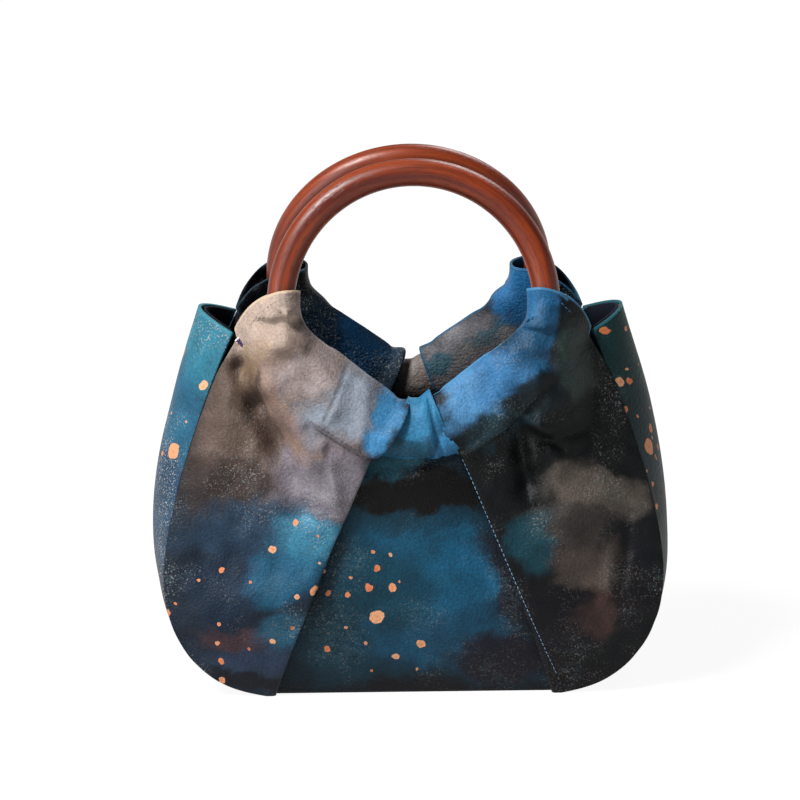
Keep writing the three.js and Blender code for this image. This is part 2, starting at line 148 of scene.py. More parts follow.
class Recipe:
    """A material, or the room's light, and the nodes that make it."""

    def __init__(self, name, owner=None, shader="Principled BSDF"):
        self.owner = owner or bpy.data.materials.new(name)
        self.owner.use_nodes = True
        self.tree = self.owner.node_tree
        self.shader = self.tree.nodes[shader]

    def node(self, kind, settings=None, sockets=None, output=0):
        made = self.tree.nodes.new("ShaderNode" + kind)
        for key, value in (settings or {}).items():
            setattr(made, key, value)
        for key, value in (sockets or {}).items():
            self.feed(made.inputs[key], value)
        return Wire(self, made.outputs[output])

    def feed(self, socket, value):
        """A link or a plain value. A colour in a vector's place goes without its fourth number."""
        if isinstance(value, Wire):
            self.tree.links.new(value.socket, socket)
        elif socket.type == "VECTOR":
            socket.default_value = value[:3]
        else:
            socket.default_value = value

    def finish(self, values):
        for key, value in values.items():
            self.feed(self.shader.inputs[key], value)
        return self.owner

    def place(self):
        return self.node("TexCoord", None, None, 3)

    def noise(self, place, scale, detail=3.0, output=0):
        return self.node("TexNoise", None, {"Vector": place, "Scale": scale, "Detail": detail}, output)

    def ramp(self, value, low, high):
        """0 at low, 1 at high, eased between."""
        sockets = {"Value": value, "From Min": low, "From Max": high}
        return self.node("MapRange", {"interpolation_type": "SMOOTHSTEP"}, sockets)

    def highest(self, first, second):
        return self.node("Math", {"operation": "MAXIMUM"}, {0: first, 1: second})

    def cells(self, place, scale, randomness):
        """How far the place is from the middle of its cell, in a flat pattern of uneven cells."""
        sockets = {"Vector": place, "Scale": scale, "Randomness": randomness}
        return self.node("TexVoronoi", {"voronoi_dimensions": "2D"}, sockets)

    def mix(self, share, first, second):
        return self.node("Mix", {"data_type": "RGBA"}, {0: share, 6: first, 7: second}, 2)

    def vector(self, operation, first, second=None, scale=None):
        sockets = {0: first}
        if second is not None:
            sockets[1] = second
        if scale is not None:
            sockets["Scale"] = scale
        return self.node("VectorMath", {"operation": operation}, sockets)

    def shaken(self, place, scale, reach, detail=3.0):
        """The place moved about by a noise, up to half of reach each way, in metres."""
        shake = self.vector("SUBTRACT", self.noise(place, scale, detail, 1), (0.5, 0.5, 0.5))
        return self.vector("ADD", place, self.vector("SCALE", shake, None, reach))

    def oval(self, place, x, z, reach_x, reach_z, tilt=0):
        """How far the place lies from the middle of an oval seen from the front: 1 at its edge."""
        sockets = {
            "Vector": place,
            "Location": (x / MILLIMETRES, 0, z / MILLIMETRES),
            "Rotation": (0, math.radians(tilt), 0),
            "Scale": (reach_x / MILLIMETRES, ENDLESS, reach_z / MILLIMETRES),
        }
        apart = self.node("Mapping", {"vector_type": "TEXTURE"}, sockets)
        return self.node("VectorMath", {"operation": "LENGTH"}, {0: apart}, 1)

    def bump(self, height, distance, strength=1.0, under=None):
        sockets = {"Height": height, "Distance": distance, "Strength": strength}
        if under:
            sockets["Normal"] = under
        return self.node("Bump", None, sockets)


def ink(code):
    """A colour from its six-figure screen code."""
    parts = [int(code[i:i + 2], 16) / 255 for i in (0, 2, 4)]
    return (*[part ** SCREEN_GAMMA for part in parts], 1)


def mesh_from(form, name):
    """A mesh with the form's shape. The form is let go."""
    mesh = bpy.data.meshes.new(name)
    form.to_mesh(mesh)
    form.free()
    return mesh


floor_form = bmesh.new()
bmesh.ops.create_grid(floor_form, x_segments=1, y_segments=1, size=FLOOR_SIZE / 2)
floor_mesh = mesh_from(floor_form, "floor")
floor = add_object("floor", floor_mesh)
floor_mesh.materials.append(Recipe("lit_table").finish({
    "Base Color": FLOOR_BODY,
    "Roughness": 0.9,
    "Specular IOR Level": 0.0,
    "Emission Color": WHITE,
    "Emission Strength": FLOOR_GLOW,
}))

room = Recipe("pale_room", bpy.data.worlds.new("pale_room"), "Background")
way_up = room.node("SeparateXYZ", None, {0: room.node("TexCoord", None, None, 0)}, 2)
room_fade = room.ramp(way_up, *EYE_LEVEL_FADE)
scene.world = room.finish({
    "Color": WHITE,
    "Strength": EYE_LEVEL_LIGHT - room_fade * (EYE_LEVEL_LIGHT - ROOM_LIGHT),
})

sun_data = bpy.data.lights.new("soft_sun", "SUN")
sun_data.energy = SUN_STRENGTH
sun_data.angle = SUN_SOFTNESS
sun = add_object("soft_sun", sun_data)
sun.rotation_euler = SUN_WAY.to_track_quat("Z", "Y").to_euler()
for row in LAMPS:
    lamp_data = bpy.data.lights.new(row["name"], "AREA")
    lamp_data.size = row["size"]
    lamp_data.energy = row["power"]
    lamp = add_object(row["name"], lamp_data)
    lamp.location = row["place"]
    lamp.rotation_euler = (Vector(row["place"]) - VIEW_CENTRE).to_track_quat("Z", "Y").to_euler()


# The handles are two turned rings of reddish brown wood under a thin satin polish.
# Their lower halves lie inside the cloth sleeves, and they lean towards each other.
RING_STOCK = 0.0142
RING_LEAN = math.radians(14)
RING_STEPS = 192
RING_SIDES = 28
STREAK_STRETCH = (12, 330, 330)
PORE_STRETCH = (180, 1700, 1700)
GRAIN_RELIEF = 0.0002
SAME_POINT = 1e-6

ring_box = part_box("front_ring")
ring_radius = ring_box[1].x - RING_STOCK / 2
ring_middle_y = (ring_box[0].y + ring_box[1].y) / 2
ring_middle_z = (ring_box[0].z + ring_box[1].z) / 2


def add_piece(name, mesh, replaced, material):
    piece = add_object(name, mesh)
    mesh.materials.clear()
    mesh.materials.append(material)
    mesh.shade_smooth()
    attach(piece, "root")
    if replaced:
        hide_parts(*replaced)
    return piece


def polished_wood():
    wood = Recipe("polished_ring_wood")
    grain = wood.node("Attribute", {"attribute_name": "grain"}, None, 1)
    streak_place = wood.node("Mapping", None, {"Vector": grain, "Scale": STREAK_STRETCH})
    streaks = wood.noise(streak_place, 1.0, 5)
    cloud = wood.noise(grain, 30.0, 3)
    pore_place = wood.node("Mapping", None, {"Vector": grain, "Scale": PORE_STRETCH})
    pores = wood.ramp(wood.noise(pore_place, 1.0, 2), 0.55, 0.68)
    tone = wood.mix(wood.ramp(streaks, 0.3, 0.72), ink("47170b"), ink("7a3417"))
    tone = wood.mix(wood.ramp(cloud, 0.4, 0.75) * 0.5, tone, ink("4a1a0e"))
    tone = wood.mix(pores * 0.4, tone, ink("220a06"))
    relief = wood.bump(streaks * 0.3 - pores * 0.5, GRAIN_RELIEF, 0.5)
    return wood.finish({
        "Base Color": tone,
        "Roughness": 0.30 + cloud * 0.16,
        "Normal": relief,
        "Specular IOR Level": 0.34,
    })


def turned_ring():
    """A round ring about the Y axis. Its grain layer holds the way along, across and out of it."""
    form = bmesh.new()
    bmesh.ops.create_circle(form, segments=RING_SIDES, radius=RING_STOCK / 2)
    stand = Matrix.Translation((0, 0, -ring_radius)) @ Matrix.Rotation(math.pi / 2, 4, "Y")
    bmesh.ops.transform(form, matrix=stand, verts=form.verts)
    bmesh.ops.spin(
        form, geom=form.verts[:] + form.edges[:], axis=(0, 1, 0), cent=(0, 0, 0),
        angle=2 * math.pi, steps=RING_STEPS, use_merge=True,
    )
    bmesh.ops.remove_doubles(form, verts=form.verts, dist=SAME_POINT)
    bmesh.ops.recalc_face_normals(form, faces=form.faces)
    grain = form.verts.layers.float_vector.new("grain")
    for vert in form.verts:
        along = math.atan2(vert.co.x, vert.co.z) * ring_radius
        out = math.hypot(vert.co.x, vert.co.z) - ring_radius
        vert[grain] = (along, vert.co.y, out)
    return form


wood_finish = polished_wood()
for side, facing in (("front", 1), ("back", -1)):
    ring_form = turned_ring()
    lean = Matrix.Rotation(-facing * RING_LEAN, 4, "X")
    standing = Matrix.Translation((0, facing * ring_middle_y, ring_middle_z)) @ lean
    bmesh.ops.transform(ring_form, matrix=standing, verts=ring_form.verts)
    ring_mesh = mesh_from(ring_form, f"wooden_{side}_ring")
    add_piece(f"wooden_{side}_ring", ring_mesh, [f"{side}_ring"], wood_finish)


# The body's cloth is a cotton print with a hand dyed look: broad washes of colour that run into
# each other, pale speckle, scattered orange spots and faint leaf-like marks, on a fine raised grain.
# A few washes paint shade rather than print: near black along the base, under the front knot and,
# partly, down the deepest folds. The band along each hem is partly its own colour and partly a painted
# highlight.
DYE_DEPTH = 0.39
BLOT = {"scale": 24.0, "reach": 0.034, "detail": 3}
FRAY = {"scale": 95.0, "reach": 0.017, "detail": 6}
WASH_EDGE = (1.3, 0.6)
MOTTLE_SCALE = 70.0
MOTTLE_DEPTH = 0.20
GRIT_SCALE = 700.0
GRIT_DEPTH = 0.18
DUST_PATCHES = 34.0
DUST_GRAINS = 1100.0
LEAF_FRAY = {"scale": 240.0, "reach": 0.0032}
LEAF_TILTS = (35, -50)
LEAF_STRETCH = (1, 2.3, 1)
LEAF_SCALE = 96.0
LEAF_STRENGTH = 0.022
SPOT_KINDS = [
    {"scale": 38.0, "least": 0.08, "most": 0.16},
    {"scale": 78.0, "least": 0.06, "most": 0.18},
]
SPOT_ZONE = (1.15, 0.7)
SPOT_EDGE = 0.006
SPOT_STRENGTH = 0.92
# The hem band is partly the turned hem's own colour and partly a painted highlight on the folded edge.
HEM_HIGHLIGHT_BAND = (0.0016, 0.0008)
HEM_HIGHLIGHT_STRENGTH = 0.75
PEBBLE_SCALE = 820.0
THREAD_SCALE = 1600.0
CLOTH_RELIEF = 0.00035
LEAF_RELIEF = 0.0003


def dyed_cloth(name, ground, washes, spots=(), speckle=0.3, hem="", seen_from="front"):
    """Washes are rows of x, z, half width, half height (mm), tilt (degrees), colour and strength.
    Spots are rows of x or y, z, half width, half height and the share of places with a spot."""
    cloth = Recipe(name)
    place = cloth.place()
    run = cloth.shaken(cloth.shaken(place, **BLOT), **FRAY)
    tone = ink(ground)
    for x, z, reach_x, reach_z, tilt, colour, strength in washes:
        far = cloth.oval(run, x, z, reach_x, reach_z, tilt)
        tone = cloth.mix(cloth.ramp(far, *WASH_EDGE) * strength, tone, ink(colour))
    mottle = cloth.noise(place, MOTTLE_SCALE, 6)
    grit = cloth.noise(place, GRIT_SCALE, 3)
    shade = cloth.ramp(mottle, 0.3, 0.7) * MOTTLE_DEPTH + cloth.ramp(grit, 0.3, 0.7) * GRIT_DEPTH + DYE_DEPTH
    tone = cloth.vector("SCALE", tone, None, shade)

    dust_zone = cloth.ramp(cloth.noise(place, DUST_PATCHES, 4), 0.44, 0.66)
    dust = cloth.ramp(cloth.noise(place, DUST_GRAINS, 2), 0.56, 0.68) * dust_zone * speckle
    tone = cloth.mix(dust, tone, ink("8d8880"))

    height = cloth.node("SeparateXYZ", None, {0: cloth.shaken(place, **LEAF_FRAY)}, 2)
    across = height.other(0 if seen_from == "front" else 1)
    flat = cloth.node("CombineXYZ", None, {0: across, 1: height})
    leaf_mask = 0.0
    for tilt in LEAF_TILTS:
        laid = cloth.node("Mapping", None, {
            "Vector": flat, "Rotation": (0, 0, math.radians(tilt)), "Scale": LEAF_STRETCH,
        })
        leaf = cloth.cells(laid, LEAF_SCALE, 0.6)
        leaf_mask = cloth.highest(cloth.ramp(leaf, 0.34, 0.28), leaf_mask)
    leaf_mask = leaf_mask * cloth.ramp(cloth.noise(place, DUST_PATCHES, 2), 0.55, 0.66)
    tone = cloth.mix(leaf_mask * LEAF_STRENGTH, tone, ink("7fa6b4"))

    if spots:
        for kind in SPOT_KINDS:
            cell = cloth.cells(flat, kind["scale"], 0.85)
            chance = cloth.node("SeparateColor", None, {"Color": cell.other("Color")}, 0)
            size = chance.other(1)
            tint = chance.other(2)
            wanted = 0.0
            for x, z, reach_x, reach_z, share in spots:
                zone = cloth.ramp(cloth.oval(place, x, z, reach_x, reach_z), *SPOT_ZONE) * share
                wanted = cloth.highest(zone, wanted)
            spot_size = size * size * (kind["most"] - kind["least"]) + kind["least"]
            inside = cloth.ramp(spot_size - cell, -SPOT_EDGE, SPOT_EDGE)
            chosen = cloth.ramp(wanted - chance, 0.0, 0.01)
            spot_tone = cloth.mix(tint, ink("b5643f"), ink("c08a66"))
            spot_tone = cloth.mix(cloth.ramp(cell, 0.05, 0.0) * 0.4, spot_tone, ink("8a4628"))
            tone = cloth.mix(inside * chosen * SPOT_STRENGTH, tone, spot_tone)

    # A band along each hem edge: partly the turned hem's own colour, partly a painted highlight where the
    # folded edge catches the light.
    if hem:
        edge = cloth.node("Attribute", {"attribute_name": "hem"}, None, 2)
        tone = cloth.mix(cloth.ramp(edge, *HEM_HIGHLIGHT_BAND) * HEM_HIGHLIGHT_STRENGTH, tone, ink(hem))

    pebble = cloth.node("TexVoronoi", {"feature": "SMOOTH_F1"}, {"Vector": place, "Scale": PEBBLE_SCALE})
    thread = cloth.noise(place, THREAD_SCALE, 2)
    relief = cloth.bump(pebble + thread * 0.6, CLOTH_RELIEF, 0.8)
    relief = cloth.bump(leaf_mask, LEAF_RELIEF, 0.5, relief)
    return cloth.finish({
        "Base Color": tone,
        "Roughness": 0.42 + mottle * 0.2,
        "Normal": relief,
        "Specular IOR Level": 0.14,
    })


LEFT_WASHES = [
    (-96, 140, 30, 60, 0, "3a2f2a", 0.95), (-70, 150, 38, 50, 0, "75635a", 1.0),
    (-46, 160, 28, 30, 0, "84746f", 0.85), (-48, 118, 26, 22, 10, "79737c", 0.9),
    # The narrow dark brown wash at -84, 162 runs down the deep fold below the left ear: partly the print's
    # dark streak, partly painted shade in the fold.
    (-84, 162, 9, 36, -24, "3a2d26", 0.65), (-92, 114, 24, 18, 0, "322b2a", 0.85),
    (-80, 92, 44, 16, 0, "2a4258", 0.85), (-52, 86, 22, 14, 0, "3a7c98", 0.85),
    (-70, 68, 26, 13, 0, "1c5470", 0.8), (-100, 62, 16, 26, 0, "18283a", 0.9),
    (-90, 34, 26, 9, 0, "453439", 0.9), (-66, 38, 18, 14, 0, "285a72", 0.8),
    # The near black wash at z 4 along the base is painted shade where the lower belly turns from the light.
    (-72, 18, 40, 11, 0, "303e54", 0.85), (-84, 4, 34, 7, 0, "1d1d24", 0.9),
    (-84, 202, 22, 22, 0, "b5a092", 0.95), (-66, 210, 16, 10, 0, "b09c90", 0.7),
    (-84, 180, 8, 18, 20, "937a60", 0.5), (-56, 176, 20, 10, -35, "988a88", 0.85),
    (-64, 152, 8, 26, -22, "937a6e", 0.75), (-96, 150, 9, 28, -12, "5a4b43", 0.7),
    (-38, 160, 14, 22, 40, "7f8a98", 0.9), (-17, 152, 10, 18, 38, "3b7cab", 0.95),
    (-46, 142, 20, 7, 35, "6e6468", 0.5),
]
CENTRE_WASHES = [
    (-26, 104, 18, 24, 20, "143c4e", 0.9), (8, 86, 34, 20, 0, "174c66", 0.95),
    (22, 62, 26, 22, 0, "195a7b", 0.9), (-16, 62, 32, 26, 0, "133f50", 0.9),
    (50, 62, 12, 34, -20, "181a22", 0.95), (-30, 30, 34, 22, 0, "0f3543", 0.9),
    (14, 30, 40, 18, 0, "184a64", 0.9), (48, 20, 26, 14, 0, "1c1620", 0.9),
    # The near black wash at z -2 along the base is painted shade where the lower belly turns from the light.
    (0, -2, 90, 9, 0, "100e15", 0.95), (0, 104, 40, 8, 0, "12303d", 0.6),
    # The near black band at z 115 along the top of the centre panel is a painted shadow under the front knot.
    (0, 115, 90, 8, 0, "0d0b0a", 1.0), (-6, 134, 60, 11, -12, "22505f", 0.95),
]
RIGHT_WASHES = [
    (70, 150, 50, 46, 0, "0c1112", 1.0), (92, 108, 26, 14, 10, "5b534c", 0.9),
    (76, 94, 24, 9, 10, "3d3936", 0.85), (60, 84, 14, 16, 10, "143f4b", 0.8),
    (92, 72, 22, 12, 25, "5a4f49", 0.85), (66, 40, 30, 26, 0, "141219", 0.9),
    (98, 46, 14, 14, 0, "4a3733", 0.7), (112, 60, 12, 40, 0, "101117", 0.9),
    # The near black wash at z 8 along the base is painted shade where the lower belly turns from the light.
    (84, 8, 40, 10, 0, "100e14", 0.9),
    (30, 164, 18, 16, -40, "4a82b0", 0.95), (48, 176, 20, 12, -35, "356c9a", 0.95),
    (62, 196, 18, 14, -10, "1f4c6c", 0.95), (60, 210, 14, 8, 0, "2a6592", 0.9),
    (46, 150, 22, 9, -35, "1a3038", 0.9), (66, 168, 20, 11, -40, "131d20", 0.9),
    (86, 196, 12, 26, 0, "121a1b", 0.95), (84, 176, 11, 18, 0, "34433f", 0.75),
]
KNOT_WASHES = [
    (2, 152, 26, 12, 0, "34779f", 0.95), (-6, 136, 30, 7, 0, "1f4e60", 0.85),
    # The narrow dark wash at 12, 142 lies in the knot's deepest tuck: painted shade in the fold.
    (20, 146, 7, 20, 15, "3f83b4", 0.7), (12, 142, 4, 14, 15, "153c55", 0.7),
]
LEFT_GUSSET_WASHES = [
    (-112, 186, 34, 26, 0, "30768c", 0.9), (-124, 146, 20, 26, 0, "275f7a", 0.85),
    (-130, 100, 20, 26, 0, "27425a", 0.85), (-126, 50, 30, 24, 0, "1b2636", 0.9),
    # The near black wash at z 12 along the base is painted shade where the gusset turns under.
    (-100, 12, 40, 16, 0, "101219", 0.9),
]
RIGHT_GUSSET_WASHES = [
    (112, 176, 34, 30, 0, "0c3436", 0.9), (124, 130, 20, 24, 0, "0b2c32", 0.85),
    # The near black wash at z 14 along the base is painted shade where the gusset turns under.
    (130, 80, 20, 34, 0, "0c1519", 0.9), (104, 14, 44, 20, 0, "0c0d11", 0.9),
]
BACK_LEFT_WASHES = [
    (-70, 100, 60, 90, 0, "153a50", 0.9), (-80, 60, 40, 40, 0, "232734", 0.8),
    # The back left sleeve goes near black above its seam and round its ear.
    (-34, 162, 24, 26, 0, "123e60", 0.95), (-50, 172, 16, 20, 0, "0a1d2c", 0.9),
    (-76, 204, 26, 26, 0, "08090d", 0.95),
]
BACK_RIGHT_WASHES = [
    (70, 90, 60, 80, 0, "22282d", 0.9), (84, 70, 40, 30, 0, "174450", 0.6),
    (30, 160, 32, 20, -35, "8c8b90", 0.95), (16, 156, 14, 6, -35, "236577", 0.75),
    (42, 176, 16, 4, -35, "236577", 0.6), (36, 164, 14, 8, -35, "8e8886", 0.6),
    # The back right sleeve goes near black beyond its ear.
    (60, 198, 16, 22, 0, "2c6fa6", 0.95), (84, 200, 12, 26, 0, "0c1014", 0.95),
]
CLOTHS = {
    "front_left": dyed_cloth(
        "front_left_cloth", "1d2834", LEFT_WASHES,
        [(-92, 40, 44, 38, 0.5), (-62, 72, 24, 32, 0.36)], 0.45, "a8957c",
    ),
    "front_centre": dyed_cloth(
        "front_centre_cloth", "0e2530", CENTRE_WASHES,
        [(-28, 54, 26, 36, 0.62), (0, 28, 60, 22, 0.34)], 0.2,
    ),
    "front_right": dyed_cloth(
        "front_right_cloth", "0d1113", RIGHT_WASHES, [(84, 60, 40, 30, 0.03)], 0.3, "3f6c8c",
    ),
    "front_knot": dyed_cloth("front_knot_cloth", "2b6a94", KNOT_WASHES, (), 0.1),
    "back_left": dyed_cloth(
        "back_left_cloth", "22303c", BACK_LEFT_WASHES, [(-84, 50, 40, 34, 0.35)], 0.4, "24343f",
    ),
    "back_centre": dyed_cloth(
        "back_centre_cloth", "173444", [(0, 60, 60, 50, 0, "1f5f7c", 0.8)],
        [(0, 40, 50, 30, 0.35)], 0.2,
    ),
    "back_right": dyed_cloth(
        "back_right_cloth", "20272c", BACK_RIGHT_WASHES, [(84, 40, 40, 30, 0.2)], 0.3, "1f4a66",
    ),
    "back_knot": dyed_cloth("back_knot_cloth", "8a7f7a", [(0, 134, 40, 8, 0, "4b4544", 0.8)], (), 0.1),
    "left_gusset": dyed_cloth(
        "left_gusset_cloth", "1c3346", LEFT_GUSSET_WASHES,
        [(-118, 160, 60, 50, 0.30)], 1.0, "2c6d7a", "side",
    ),
    "right_gusset": dyed_cloth(
        "right_gusset_cloth", "0b2024", RIGHT_GUSSET_WASHES,
        [(118, 140, 60, 60, 0.8)], 0.12, "1d4a52", "side",
    ),
    "base": dyed_cloth("base_cloth", "12161d", (), (), 0.1),
}


# Each side panel and its sleeve are one cloth, folded over the ring and stitched below it. It is
# gathered at the ear, hangs in soft folds from the stitching and is turned in at the pleat.
SIDE_FOLDS = {
    "left": [
        (-89, 190, -89, 174, 4, 5, -3.0), (-89, 174, -80, 155, 5, 6, -3.8),
        (-80, 155, -69, 139, 6, 7, -3.8),
        (-69, 139, -58, 104, 8, 9, -3.0), (-78, 190, -75, 170, 5, 5, 1.8), (-75, 170, -59, 142, 6, 6, 2.4),
        (-54, 146, -40, 112, 7, 8, 2.2), (-54, 146, -51, 142, 3.5, 3.5, -2.6),
        (-52, 139, -57, 112, 3.2, 3.2, 1.3), (-48, 139, -40, 112, 2.8, 2.8, 1.2),
        (-45, 136, -47, 114, 2.4, 2.4, -1.3), (-104, 84, -72, 78, 12, 12, -1.8),
        (-60, 60, -104, 48, 12, 12, 1.8), (-96, 150, -104, 120, 8, 10, 1.6),
        (-74, 203, -65, 206, 7, 1.6, 2.7), (-65, 206, -54, 202, 8, 1.6, 2.9), (-70, 193, -57, 193, 4, 6, 2.8),
        (-70, 190, -58, 186, 4, 5, 1.2), (-60, 182, -50, 172, 3, 3, -0.8), (-56, 190, -46, 176, 4, 4, 1.0),
        (-50, 168, -42, 158, 3, 4, 1.2), (-34, 178, -46, 152, 0.8, 0.8, -0.8),
        (-50, 149, -24, 133, 6, 0.8, 1.9), (-24, 166, -28, 142, 3, 4, 1.3),
    ],
    "right": [
        (52, 148, 58, 116, 4, 6, -3.6), (64, 150, 61, 126, 3, 4, 1.8), (78, 180, 77, 156, 10, 12, 3.2),
        (57, 152, 68, 144, 2.5, 3, 1.8), (60, 142, 75, 134, 2.5, 3, -1.6), (66, 138, 86, 142, 4, 4, -1.7),
        (94, 160, 88, 134, 6, 6, -2.0), (100, 112, 72, 86, 12, 12, 2.0), (106, 76, 78, 60, 12, 12, -1.8),
        (112, 96, 108, 60, 3, 5, -1.6), (44, 192, 54, 198.5, 7, 1.6, 2.6),
        (54, 198.5, 66, 198, 7, 1.6, 2.6), (50, 188, 64, 188, 4, 5, 2.2),
        (36, 178, 48, 156, 0.8, 0.8, -0.8), (50, 184, 62, 174, 5, 6, 1.3), (66, 188, 72, 170, 3, 4, -1.2),
        (58, 170, 68, 160, 5, 5, 1.4), (76, 186, 80, 168, 5, 6, 1.8),
        (28, 134, 47, 147, 6, 0.8, 1.9), (47, 147, 61, 162, 6, 1.0, 1.5),
    ],
}
SEAM_PULL = 0.0036
SEAM_LIFT = 0.0045
SEAM_REACH = 0.018
PARTING_FLARE = {"left": 0.0032, "right": 0.0006}
PARTING_LAP = 0.0020
SEAM_SMOOTHING = 14
BACK_ROLL = 0.0020
BACK_EAR = 0.0030
EAR_STRETCH = 0.050
EAR_TURN = math.radians(70)
SEAM_GAP = 0.001
PARTING_GAP = 0.0008
PARTING_REACH = 0.008
SLEEVE_DIP = 0.0003
SEAM_RADIUS = 0.090
FRONT_EAR_FROM = 1.25
FRONT_EAR_OVER = 0.35
BACK_EAR_FROM = 1.05
BACK_EAR_OVER = 0.3
GUSSET_FADE = 0.013
SLEEVE_INNER = 0.077
SLEEVE_END = 0.078
SLEEVE_FADE = 0.004
OUTER_FROM = -0.002
OUTER_OVER = 0.004
INNER_OVER = 0.008
PANEL_FROM = 0.080
BASE_FADE = 0.02
SEAM_REACHES = (0.009, 0.006)
FOLD_DEPTH = 1.3
SEEN_FROM_FRONT = (1, 0, 1)
ALL_WAYS = (1, 1, 1)
BILLOW = {"depth": 0.0022, "scale": 20}
CRUMPLE = {"depth": 0.0030, "scale": 46, "level": 0.3, "from": 0.08, "over": 0.06}
RIPPLE = {"depth": 0.0009, "scale": 110}
CAD_ROUNDING = 2e-6
HEM_ANGLE = math.radians(62)
FLAT_ENOUGH = math.radians(80)


def finer_copy(node, levels):
    """The cloth solid's own form, with its corners rounded, its hems kept sharp, and hems marked."""
    form = bmesh.new()
    form.from_mesh(frame["nodes"][node].data)
    bmesh.ops.remove_doubles(form, verts=form.verts, dist=CAD_ROUNDING)
    bmesh.ops.join_triangles(
        form, faces=form.faces, angle_face_threshold=FLAT_ENOUGH, angle_shape_threshold=FLAT_ENOUGH,
    )
    sharp = form.edges.layers.float.new("crease_edge")
    for edge in form.edges:
        if len(edge.link_faces) == 2 and edge.calc_face_angle() > HEM_ANGLE:
            edge[sharp] = 1.0
    rough = mesh_from(form, "rough")
    holder = add_object("holder", rough)
    rounding = holder.modifiers.new("rounding", "SUBSURF")
    rounding.levels = levels
    rounding.render_levels = levels
    mesh = finished_mesh(holder)
    bpy.data.meshes.remove(rough)
    return mesh


def finished_mesh(holder):
    """The mesh of an object with its modifiers applied. The object is removed."""
    ready = bpy.context.evaluated_depsgraph_get()
    mesh = bpy.data.meshes.new_from_object(holder.evaluated_get(ready))
    bpy.data.objects.remove(holder)
    return mesh


def read_points(mesh, kind="co"):
    points = np.zeros(len(mesh.vertices) * 3)
    mesh.vertices.foreach_get(kind, points)
    return points.reshape(-1, 3)


def write_points(mesh, points):
    mesh.vertices.foreach_set("co", points.ravel())
    mesh.update()


def hem_points(mesh):
    """Points on the sharp edges of a finer copy."""
    sharp = mesh.attributes["crease_edge"]
    found = {v for edge in mesh.edges if sharp.data[edge.index].value > 0.9 for v in edge.vertices}
    return read_points(mesh)[sorted(found)]


def point_tree(points):
    tree = kdtree.KDTree(len(points))
    for index, point in enumerate(points):
        tree.insert(point, index)
    tree.balance()
    return tree


def distance_to(points, others):
    """How far each point is from the nearest of the others."""
    tree = point_tree(others)
    return np.array([tree.find(point)[2] for point in points])


def mark_hem(mesh, distances):
    mark = mesh.attributes.new("hem", "FLOAT", "POINT")
    mark.data.foreach_set("value", distances)


def eased(share):
    share = np.clip(share, 0, 1)
    return share * share * (3 - 2 * share)


def nearness(points, others, gap, reach):
    """1 within the gap of the others, easing to 0 over the reach."""
    return 1 - eased((distance_to(points, others) - gap) / reach)


def off_base(points):
    """0 at the bottom edge, which stays on the base, easing to 1 above it."""
    return eased(points[:, 2] / BASE_FADE)


def outer_share(proud):
    """0 on the inner half of a sleeve's round and 1 on its outer half, eased between."""
    return eased((proud - OUTER_FROM) / OUTER_OVER)


def fold_relief(points, rows):
    """Sum of straight folds seen from the front, in metres. Rows are x, z of both ends, the width on
    the left and on the right of the line, and the height, in millimetres."""
    place = points[:, [0, 2]] * MILLIMETRES
    relief = np.zeros(len(points))
    for x1, z1, x2, z2, left_width, right_width, height in rows:
        start = np.array((x1, z1))
        run = np.array((x2, z2)) - start
        offset = place - start
        share = np.clip((offset @ run) / (run @ run), 0, 1)
        apart = np.hypot(*(offset - share[:, None] * run).T)
        on_left = run[0] * offset[:, 1] - run[1] * offset[:, 0] > 0
        width = np.where(on_left, left_width, right_width)
        relief += height / MILLIMETRES * np.exp(-((apart / width) ** 2))
    return relief


def soft_noise(points, scale, seed, stretch=SEEN_FROM_FRONT):
    shift = Vector((seed, seed * 2, 0))
    places = points * np.array(stretch) * scale
    return np.array([noise.noise(Vector(place) + shift) for place in places])


def ring_place(points, facing):
    """Radius, turn from the bottom and height off the ring's plane of each point."""
    away = facing * points[:, 1] - ring_middle_y
    rise = points[:, 2] - ring_middle_z
    along = away * math.sin(RING_LEAN) + rise * math.cos(RING_LEAN)
    proud = rise * math.sin(RING_LEAN) - away * math.cos(RING_LEAN)
    return np.hypot(points[:, 0], along), np.arctan2(points[:, 0], -along), proud


def from_ring(radius, turn, proud, facing):
    """The points that ring_place describes."""
    along = -radius * np.cos(turn)
    away = along * math.sin(RING_LEAN) - proud * math.cos(RING_LEAN)
    rise = along * math.cos(RING_LEAN) + proud * math.sin(RING_LEAN)
    return np.column_stack((
        radius * np.sin(turn), facing * (away + ring_middle_y), rise + ring_middle_z,
    ))


def drawn_to_seam(mesh, sleeve_points, facing):
    """Draws the panel's top edge into the sleeve and out over the seam allowance."""
    points = read_points(mesh)
    near = nearness(points, sleeve_points, SEAM_GAP, SEAM_REACH)
    radius, turn, proud = ring_place(points, facing)
    drawn = from_ring(radius - SEAM_PULL * near, turn, proud + SEAM_LIFT * near, facing)
    write_points(mesh, drawn)


